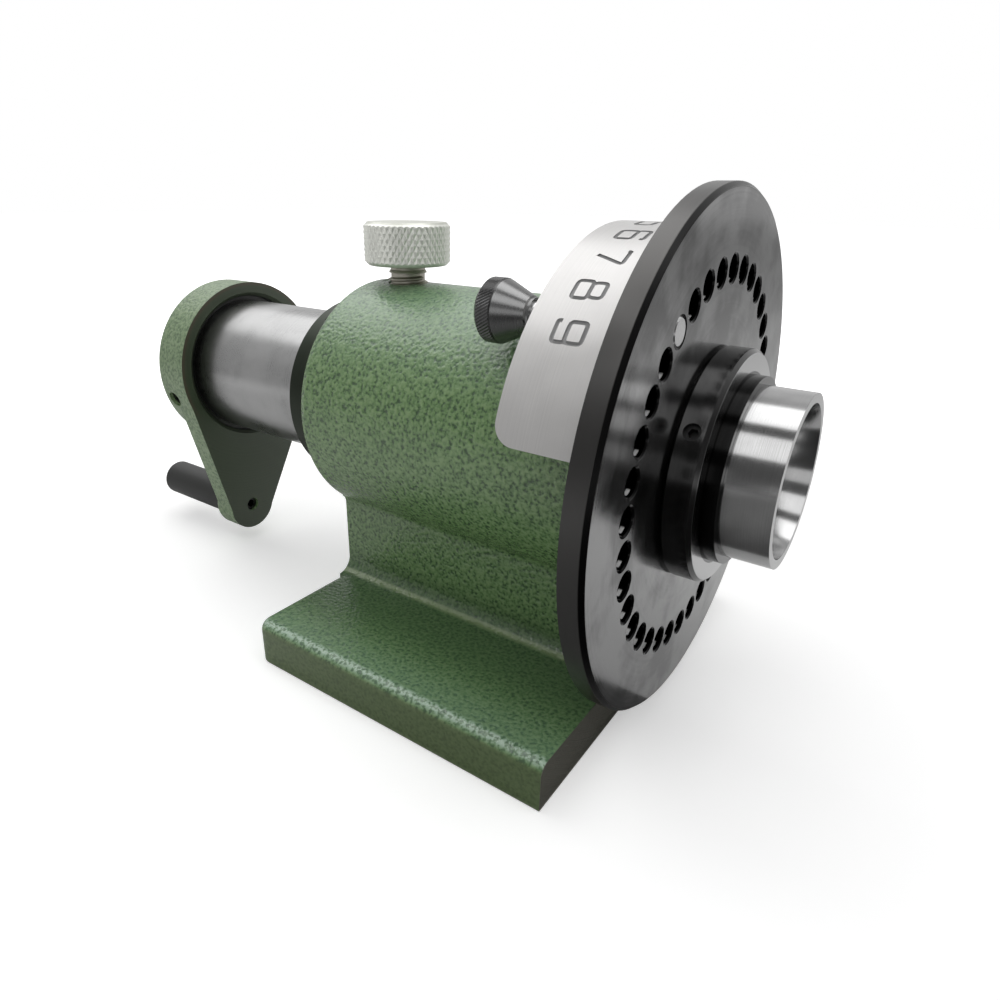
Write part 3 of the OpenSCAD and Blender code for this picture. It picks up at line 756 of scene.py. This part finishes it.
# Depth and facing of the painted glints in the holes.
GLINT_X = (plate_high.x - 2.2 * MM, plate_high.x - 1.1 * MM)
GLINT_FACES = (0.0, -0.45, 0.89)


def make_plate_steel():
    """Black oxide plate with a satin rim, a dark bevel, holes darkened as painted shade, and a painted glint in
    each.
    """
    material, tree, inputs, marks, colour = make_metal(
        "black_oxide_plate", grey(0.120), grey(0.265), 0.13, 0.22, AXIS_POINT, rings=1200.0, clouds=0.6)
    rim = smooth_map(tree, marks["Radius"], *RIM_R, 0.0, 1.0)
    roughen(tree, inputs, rim, 0.14)
    colour = mix_colour(tree, rim, colour, grey(0.105, 0.02))
    bevel = times(tree, band(tree, marks["Radius"], *BEVEL_R, 0.05 * MM),
                  math_node(tree, "GREATER_THAN", marks["Along"], plate_high.x - BEVEL_DEPTH))
    colour = mix_colour(tree, bevel, colour, grey(0.022))
    # The holes are black oxide, painted nearly black inside as the shade in them.
    holes = times(tree, band(tree, marks["Along"], *HOLES_X, 0.01 * MM),
                  band(tree, marks["Radius"], *HOLES_R, 0.1 * MM))
    colour = mix_colour(tree, holes, colour, grey(0.018))
    # Painted highlight: a pale, non-metallic spot on the lower wall of each hole, near the front.
    lit_side = smooth_map(tree, dot(tree, facing(tree), GLINT_FACES), 0.93, 0.98, 0.0, 1.0)
    glint = times(tree, times(tree, holes, band(tree, marks["Along"], *GLINT_X, 0.2 * MM)), lit_side)
    tree.links.new(mix_colour(tree, glint, colour, grey(0.85)), inputs["Base Color"])
    tree.links.new(math_node(tree, "SUBTRACT", 1.0, glint), inputs["Metallic"])
    return material


plate_steel = make_plate_steel()
print("plate radius:", round(PLATE_R / MM, 2), "mm")

# %% Bright steel of the lock screw
lock_low, lock_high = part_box("lock_screw")
LOCK_POINT = Vector(((lock_low.x + lock_high.x) / 2, 0, 0))
HEAD_R = (lock_high.x - lock_low.x) / 2
KNURLED_R = (HEAD_R - 0.9 * MM, HEAD_R - 0.5 * MM)
SHANK_R = 6.3 * MM
SHANK_BELOW = lock_high.z - 6 * MM


def make_lock_steel():
    """Plain bright steel, paler on the knurled side as painted light, and darker on the shank."""
    material, tree, inputs, marks, colour = make_metal(
        "bright_steel", rgb(0.64, 0.65, 0.59), rgb(0.74, 0.75, 0.68), 0.36, 0.46, LOCK_POINT, ALONG_Z, metallic=0.5)
    # Painted light: the knurled side gets less light than the top, so it is painted paler.
    knurl_light = smooth_map(tree, marks["Radius"], *KNURLED_R, 0.0, 1.0)
    colour = mix_colour(tree, knurl_light, colour, rgb(0.93, 0.94, 0.88))
    shank = times(tree, math_node(tree, "LESS_THAN", marks["Radius"], SHANK_R),
                  math_node(tree, "LESS_THAN", marks["Along"], SHANK_BELOW))
    tree.links.new(mix_colour(tree, shank, colour, rgb(0.50, 0.48, 0.42)), inputs["Base Color"])
    tree.links.new(between(tree, shank, 0.6, 1.0), inputs["Metallic"])
    return material


lock_steel = make_lock_steel()
print("radius of the lock screw's head:", round(HEAD_R / MM, 2), "mm")


# %% Black oxide of the index knob
def centre_line(node):
    """A point on the centre line of a turned piece that lies along X."""
    low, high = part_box(node)
    return Vector((0, (low.y + high.y) / 2, (low.z + high.z) / 2))


PIN_POINT = centre_line("index_pin")
knob_low, knob_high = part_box("index_knob")
KNOB_RIM_L = 4.8 * MM


def make_knob_steel():
    """Black oxide, with the cone paler than the knurled rim."""
    material, tree, inputs, marks, colour = make_metal(
        "black_knob", grey(0.080), grey(0.110), 0.22, 0.30, PIN_POINT, rings=2500.0, relief=0.003)
    cone = math_node(tree, "GREATER_THAN", marks["Along"], knob_low.x + KNOB_RIM_L)
    tree.links.new(mix_colour(tree, cone, colour, grey(0.215)), inputs["Base Color"])
    return material


knob_steel = make_knob_steel()
print("height of the index pin:", round(PIN_POINT.z / MM, 2), "mm")

# %% Metals that are the same all over
quadrant_steel = make_metal("satin_steel", grey(0.63, 0.015), grey(0.71, 0.015), 0.28, 0.36, AXIS_POINT,
                            rings=3000.0, metallic=0.45)[0]
digit_grey = make_metal("digit_grey", grey(0.27), grey(0.34), 0.5, 0.6, AXIS_POINT, metallic=0.0)[0]
tube_steel = make_metal("turned_steel", grey(0.30), grey(0.42), 0.3, 0.42, AXIS_POINT, rings=2500.0)[0]
pin_steel = make_metal("pin_steel", grey(0.55), grey(0.68), 0.18, 0.28, PIN_POINT)[0]
thrust_steel = make_metal("thrust_collar_black", rgb(0.026, 0.032, 0.024), rgb(0.042, 0.050, 0.038), 0.34, 0.44,
                          AXIS_POINT, rings=2500.0)[0]
screw_steel = make_metal("black_screws", grey(0.02), grey(0.04), 0.3, 0.45, AXIS_POINT, rings=2500.0)[0]
pad_brass = make_metal("brass_pad", rgb(0.60, 0.40, 0.14), rgb(0.78, 0.56, 0.24), 0.25, 0.4, LOCK_POINT, ALONG_Z)[0]
handle_black = make_metal("black_handle", rgb(0.010, 0.011, 0.010), rgb(0.018, 0.019, 0.017), 0.4, 0.5,
                          centre_line("handle"), rings=2000.0, metallic=0.0)[0]
print("materials:", len(bpy.data.materials))

# %% [markdown]
# ## Tools for pieces made by hand
# The knurls and the thread need three tools. A turned bar is a circle that is extruded and resized, step by
# step, along its outline. A ridged bar starts from a star and turns a little with every step, like a straight
# knurl that is wound round. A boolean modifier then joins, cuts or crosses two pieces. At the end each piece is
# handed over: it gets its material and the body it moves with, and the CAD node that it stands for is hidden.


# %% Bars
def add_disc(name, vertices, radius, place):
    """Filled circle on the Z axis, in edit mode with all of it selected."""
    pick_none()
    bpy.ops.mesh.primitive_circle_add(vertices=vertices, radius=radius, fill_type="NGON", location=(0, 0, place),
                                      enter_editmode=True)
    piece = bpy.context.object
    piece.name = name
    return piece


def raise_disc(step, share, place):
    """Extrudes the selected disc upwards by a step and resizes it about the axis."""
    bpy.ops.mesh.extrude_region_move(TRANSFORM_OT_translate={"value": (0, 0, step)})
    if share != 1:
        bpy.ops.transform.resize(value=(share, share, 1), center_override=(0, 0, place))


def turned_bar(name, outline, vertices=96):
    """Solid of revolution round Z, from (height, radius) points that go upwards."""
    height, radius = outline[0]
    piece = add_disc(name, vertices, radius, height)
    for next_height, next_radius in outline[1:]:
        raise_disc(next_height - height, next_radius / radius, next_height)
        height, radius = next_height, next_radius
    finish_mesh(piece)
    bpy.ops.object.transform_apply(location=True)
    return piece


# %% Ridged bar
def ridged_bar(name, radius, depth, ridges, low, length, steps, twist):
    """Bar with ridges that wind round it by a twist, in degrees."""
    piece = add_disc(name, 2 * ridges, radius, low)
    bpy.ops.mesh.select_mode(type="VERT")
    bpy.ops.mesh.select_all(action="DESELECT")
    bpy.ops.object.mode_set(mode="OBJECT")
    for vertex in piece.data.vertices:
        vertex.select = vertex.index % 2 == 0
    bpy.ops.object.mode_set(mode="EDIT")
    share = (radius - depth) / radius
    bpy.ops.transform.resize(value=(share, share, 1), center_override=(0, 0, low))
    bpy.ops.mesh.select_all(action="SELECT")
    for step in range(steps):
        bpy.ops.mesh.extrude_region_move(TRANSFORM_OT_translate={"value": (0, 0, length / steps)})
        bpy.ops.transform.rotate(value=math.radians(twist) / steps, orient_axis="Z", center_override=(0, 0, 0))
    finish_mesh(piece, 20)
    bpy.ops.object.transform_apply(location=True)
    return piece


# %% Combine and hand over
def combine(piece, other, operation):
    """Boolean of two pieces. The other piece is used up."""
    pick(piece)
    modifier = piece.modifiers.new(operation.lower(), "BOOLEAN")
    modifier.operation = operation
    modifier.solver = "MANIFOLD"
    modifier.object = other
    bpy.ops.object.modifier_apply(modifier=modifier.name)
    bpy.data.objects.remove(other)


def hand_over(piece, material, body, node):
    """Gives a finished piece its material and its body, and hides the CAD node it stands for."""
    if material:
        piece.data.materials.clear()
        piece.data.materials.append(material)
    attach(piece, body)
    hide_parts(node)
    print(piece.name, "stands for", node, "with", len(piece.data.polygons), "faces")


# %% [markdown]
# ## Lock screw
# The big head is knurled: two sets of fine ridges cross and leave diamonds that fingers can grip. Two bars with
# ridges that wind in opposite ways are made, and only what both share is kept, which is just what the two knurling
# wheels leave. A third, plain bar with bevelled ends trims the diamonds off the edges. Under the head come a
# hollow neck and a thread, made by a small tooth that the Screw modifier winds round the shank.

# %% Head of the lock screw
HEAD_LOW = lock_high.z - 12.0 * MM
HEAD_BEVEL = 1.2 * MM
KNURL_RIDGES = 45
KNURL_DEPTH = 0.36 * MM
KNURL_TWIST = 31.0
KNURL_SMOOTH = 22
TRIM_OVER = 0.01 * MM

# The left bar is longer and turns further, so that no edge of it falls on an edge of the right one.
lock_piece = ridged_bar("lock_screw_knurled", HEAD_R, KNURL_DEPTH, KNURL_RIDGES, low=HEAD_LOW - 0.3 * MM,
                        length=12.6 * MM, steps=12, twist=KNURL_TWIST)
left_bar = ridged_bar("left_bar", HEAD_R, KNURL_DEPTH, KNURL_RIDGES, low=HEAD_LOW - 0.6 * MM,
                      length=13.1 * MM, steps=13, twist=-KNURL_TWIST - 2.3)
combine(lock_piece, left_bar, "INTERSECT")
trim = turned_bar("trim_bar", [(HEAD_LOW, HEAD_R - HEAD_BEVEL), (HEAD_LOW + HEAD_BEVEL, HEAD_R + TRIM_OVER),
                               (lock_high.z - HEAD_BEVEL, HEAD_R + TRIM_OVER), (lock_high.z, HEAD_R - HEAD_BEVEL)])
combine(lock_piece, trim, "INTERSECT")
print("knurled head:", len(lock_piece.data.polygons), "faces")

# %% Tooth of a thread
TOOTH_STEPS = 48
TOOTH_HALF = 0.42
TOOTH_TIP = 0.2


def helical_tooth(name, low, turns, pitch, root, crest):
    """Tooth of a thread, wound round Z by the Screw modifier and closed at both ends."""
    pick_none()
    bpy.ops.mesh.primitive_plane_add(size=1, enter_editmode=False)
    tooth = bpy.context.object
    tooth.name = name
    half = pitch * TOOTH_HALF
    tip = half * TOOTH_TIP
    corners = [(root, 0, low - half), (crest, 0, low - tip), (root, 0, low + half), (crest, 0, low + tip)]
    for vertex, corner in zip(tooth.data.vertices, corners):
        vertex.co = corner
    pick(tooth)
    bpy.ops.object.mode_set(mode="EDIT")
    bpy.ops.mesh.select_all(action="SELECT")
    bpy.ops.mesh.delete(type="ONLY_FACE")
    bpy.ops.object.mode_set(mode="OBJECT")
    wind = tooth.modifiers.new("wind", "SCREW")
    wind.axis = "Z"
    wind.angle = 2 * math.pi
    wind.screw_offset = pitch
    wind.iterations = turns
    wind.steps = TOOTH_STEPS
    wind.render_steps = TOOTH_STEPS
    bpy.ops.object.modifier_apply(modifier=wind.name)
    bpy.ops.object.mode_set(mode="EDIT")
    bpy.ops.mesh.select_all(action="SELECT")
    bpy.ops.mesh.fill_holes(sides=4)
    finish_mesh(tooth)
    return tooth


# %% Neck and thread of the lock screw
THREAD_TOP = HEAD_LOW - 2.3 * MM
THREAD_R = 5.95 * MM
ROOT_R = 5.05 * MM
PITCH = 1.75 * MM
TURNS = int((THREAD_TOP - lock_low.z - 2.4 * MM) / PITCH)

shank = turned_bar("shank", [
    (lock_low.z, ROOT_R - 0.8 * MM), (lock_low.z + 0.8 * MM, ROOT_R), (THREAD_TOP, ROOT_R),
    (THREAD_TOP + 0.1 * MM, 5.7 * MM), (THREAD_TOP + 0.5 * MM, 5.55 * MM), (THREAD_TOP + 1.0 * MM, 5.15 * MM),
    (THREAD_TOP + 1.5 * MM, 5.1 * MM), (THREAD_TOP + 2.0 * MM, 5.35 * MM), (HEAD_LOW + 0.2 * MM, 5.9 * MM),
])
tooth = helical_tooth("tooth", lock_low.z + 1.6 * MM, TURNS, PITCH, ROOT_R - 0.15 * MM, THREAD_R)
combine(shank, tooth, "UNION")
combine(lock_piece, shank, "UNION")
finish_mesh(lock_piece, KNURL_SMOOTH)
lock_piece.location = LOCK_POINT
bpy.ops.object.transform_apply(location=True)
hand_over(lock_piece, lock_steel, "lock", "lock_screw")

# %% [markdown]
# ## Index knob
# The knob on the index pin is a black cone that narrows towards the quadrant. Only its rim is knurled, with one
# set of slanted ridges. It is modelled standing on the Z axis and then laid along the spindle.

# %% Knob
KNOB_L = knob_high.x - knob_low.x
KNOB_R = (knob_high.y - knob_low.y) / 2
KNOB_FRONT_R = 3.8 * MM
KNOB_BEVEL = 1.2 * MM
KNOB_RIDGES = 60
KNOB_KNURL = 0.15 * MM
KNOB_TWIST = 22.0

knob_piece = ridged_bar("index_knob_knurled", KNOB_R, KNOB_KNURL, KNOB_RIDGES, low=0.0, length=KNOB_RIM_L, steps=6,
                        twist=KNOB_TWIST)
trim = turned_bar("trim_bar", [(0.0, KNOB_R - KNOB_BEVEL), (KNOB_BEVEL, KNOB_R + TRIM_OVER),
                               (KNOB_RIM_L - 0.4 * MM, KNOB_R + TRIM_OVER), (KNOB_RIM_L, KNOB_R - 0.35 * MM)])
combine(knob_piece, trim, "INTERSECT")
cone = turned_bar("cone", [(KNOB_RIM_L - 0.5 * MM, KNOB_R - 0.9 * MM), (KNOB_RIM_L + 0.12 * MM, KNOB_R - 0.22 * MM),
                           (KNOB_L - 1.0 * MM, KNOB_FRONT_R + 0.35 * MM), (KNOB_L - 0.7 * MM, KNOB_FRONT_R),
                           (KNOB_L, KNOB_FRONT_R)])
combine(knob_piece, cone, "UNION")
finish_mesh(knob_piece, KNURL_SMOOTH)
knob_piece.rotation_euler = (0, math.radians(90), 0)
knob_piece.location = (knob_low.x, PIN_POINT.y, PIN_POINT.z)
bpy.ops.object.transform_apply(location=True, rotation=True)
hand_over(knob_piece, knob_steel, "index_plunger", "index_knob")

# %% [markdown]
# ## Engraved quadrant
# Ten holes sit behind the numbers 0 to 9 on the quadrant, eleven degrees apart. The numbers are engraved in a
# square hand with round corners. Each stroke is a curve laid on the rim and given a round section, as a ball
# cutter would run, and a boolean takes it out of a copy of the quadrant. A second pass cuts the strokes that
# meet the first ones, so that no cutter crosses itself. The faces that the cutter leaves take its grey material.
# Cutting splits the smooth rim into odd faces, so at the end they get the normals of the true cylinder.

# %% The numbers
quadrant_low, quadrant_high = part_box("index_quadrant")
QUADRANT_R = quadrant_high.z - AXIS_Z
DIGIT_X = quadrant_low.x + 10.3 * MM
DIGIT_W = 4.9 * MM
DIGIT_H = 6.8 * MM
DIGIT_STEP = 11.0
CUTTER_R = 0.54 * MM
CORNER = 0.95 * MM
CORNER_SHARE = 0.45

# Strokes on a grid of 4 by 8, first the main stroke and then the one that meets it. True closes the stroke.
BOX_LOW = (True, [(0, 0), (4, 0), (4, 4.6), (0, 4.6)])
BOX_HIGH = (True, [(0, 3.4), (4, 3.4), (4, 8), (0, 8)])
DIGITS = [
    [(True, [(0, 0), (4, 0), (4, 8), (0, 8)])],
    [(False, [(1, 6.4), (2.4, 8), (2.4, 0)])],
    [(False, [(0, 6.8), (0, 8), (4, 8), (4, 4.6), (0, 2.6), (0, 0), (4, 0)])],
    [(False, [(0, 8), (4, 8), (4, 0), (0, 0)]), (False, [(1, 4.2), (3.95, 4.2)])],
    [(False, [(1.4, 8), (0, 2.6), (4, 2.6)]), (False, [(3, 4.8), (3, 0)])],
    [(False, [(4, 8), (0, 8), (0, 4.6), (4, 4.6), (4, 0), (0, 0)])],
    [BOX_LOW, (False, [(0.3, 4.3), (0, 5.2), (0, 8), (4, 8), (4, 6.9)])],
    [(False, [(0, 7.2), (0, 8), (4, 8), (1.6, 0)])],
    [(True, [(0, 0), (4, 0), (4, 4.2), (0, 4.2)]),
     (False, [(0.75, 4.15), (0.3, 5.2), (0.3, 8), (3.7, 8), (3.7, 5.2), (3.25, 4.15)])],
    [BOX_HIGH, (False, [(3.7, 3.7), (4, 2.8), (4, 0), (0, 0), (0, 1.1)])],
]


# %% Cutter for the strokes
def rounded_stroke(closed, points):
    """Stroke in metres with its corners rounded and its straight runs divided."""
    flat = [Vector((u * DIGIT_W / 4, v * DIGIT_H / 8)) for u, v in points]
    path = []
    for index, corner in enumerate(flat):
        if not closed and index in (0, len(flat) - 1):
            path.append(corner)
            continue
        before = flat[index - 1] - corner
        after = flat[(index + 1) % len(flat)] - corner
        cut = min(CORNER, before.length * CORNER_SHARE, after.length * CORNER_SHARE)
        start = corner + before.normalized() * cut
        end = corner + after.normalized() * cut
        path += [start.lerp(corner, share).lerp(corner.lerp(end, share), share) for share in (0, 0.33, 0.67, 1)]
    return path


def stroke_cutter(name, passing, radius):
    """All strokes of one pass as one mesh of round section, laid on the rim of the quadrant."""
    curve = bpy.data.curves.new(name, "CURVE")
    curve.dimensions = "3D"
    curve.bevel_depth = radius
    curve.bevel_resolution = 1
    curve.use_fill_caps = True
    for digit, strokes in enumerate(DIGITS):
        if passing >= len(strokes):
            continue
        closed, points = strokes[passing]
        path = rounded_stroke(closed, points)
        spline = curve.splines.new("POLY")
        spline.points.add(len(path) - 1)
        spline.use_cyclic_u = closed
        middle = math.radians(DIGIT_STEP * (digit - 4.5))
        for point, flat in zip(spline.points, path):
            angle = middle + (flat.x - DIGIT_W / 2) / QUADRANT_R
            point.co = (DIGIT_X + flat.y - DIGIT_H / 2, -QUADRANT_R * math.sin(angle),
                        AXIS_Z + QUADRANT_R * math.cos(angle), 1)
    cutter = bpy.data.objects.new(name, curve)
    scene.collection.objects.link(cutter)
    pick(cutter)
    bpy.ops.object.convert(target="MESH")
    cutter = bpy.context.object
    finish_mesh(cutter)
    cutter.data.materials.clear()
    for material in (quadrant_steel, digit_grey):
        cutter.data.materials.append(material)
    for face in cutter.data.polygons:
        face.material_index = 1
    return cutter


# %% Normals of the rim
RIM_SLACK = 0.2 * MM
RIM_FACING = 0.98


def round_normals(piece, radius):
    """Gives the faces that lie on the rim the exact normals of a cylinder round the spindle axis."""
    mesh = piece.data
    normals = [normal.vector.copy() for normal in mesh.corner_normals]
    changed = 0
    for face in mesh.polygons:
        out = face.center - AXIS_POINT
        out.x = 0
        off_rim = abs(out.length - radius) > RIM_SLACK or face.normal.dot(out.normalized()) < RIM_FACING
        if face.material_index or off_rim:
            continue
        for corner in face.loop_indices:
            ray = mesh.vertices[mesh.loops[corner].vertex_index].co - AXIS_POINT
            normals[corner] = Vector((0, ray.y, ray.z)).normalized()
            changed += 1
    mesh.normals_split_custom_set(normals)
    print("normals set on", changed, "corners")


# %% Engrave a copy of the quadrant
SECOND_PASS = 0.97
QUADRANT_SMOOTH = 8

quadrant_piece = nodes["index_quadrant"].copy()
quadrant_piece.data = nodes["index_quadrant"].data.copy()
quadrant_piece.parent = None
quadrant_piece.name = "index_quadrant_engraved"
scene.collection.objects.link(quadrant_piece)
quadrant_piece.data.materials.clear()
for material in (quadrant_steel, digit_grey):
    quadrant_piece.data.materials.append(material)
finish_mesh(quadrant_piece)
for passing, radius in enumerate((CUTTER_R, CUTTER_R * SECOND_PASS)):
    combine(quadrant_piece, stroke_cutter("stroke_cutter", passing, radius), "DIFFERENCE")
finish_mesh(quadrant_piece, QUADRANT_SMOOTH)
round_normals(quadrant_piece, QUADRANT_R)
hand_over(quadrant_piece, None, "body", "index_quadrant")

# %% [markdown]
# ## Finishes of the CAD pieces
# The other pieces keep the exact shape of the construction and only get their finish. The three nodes that the
# pieces made by hand stand for get theirs too, in case one of them is ever shown again.

# %% Give each CAD node its finish
FINISHES = {
    casting_paint: ["body_casting"],
    crank_paint: ["crank_arm"],
    quadrant_steel: ["index_quadrant"],
    spindle_steel: ["spindle", "plate_key"],
    plate_steel: ["index_plate"],
    collar_steel: ["front_collar"],
    thrust_steel: ["thrust_collar"],
    tube_steel: ["draw_tube"],
    pin_steel: ["index_pin"],
    knob_steel: ["index_knob"],
    handle_black: ["handle"],
    lock_steel: ["lock_screw"],
    pad_brass: ["lock_pad"],
    screw_steel: ["quadrant_screws", "collet_key", "front_collar_screws", "thrust_collar_screws", "crank_screw",
                  "handle_screw"],
}
for material, names in FINISHES.items():
    for name in names:
        nodes[name].material_slots[0].material = material
print("finished nodes:", sum(len(names) for names in FINISHES.values()), "of", len(nodes))
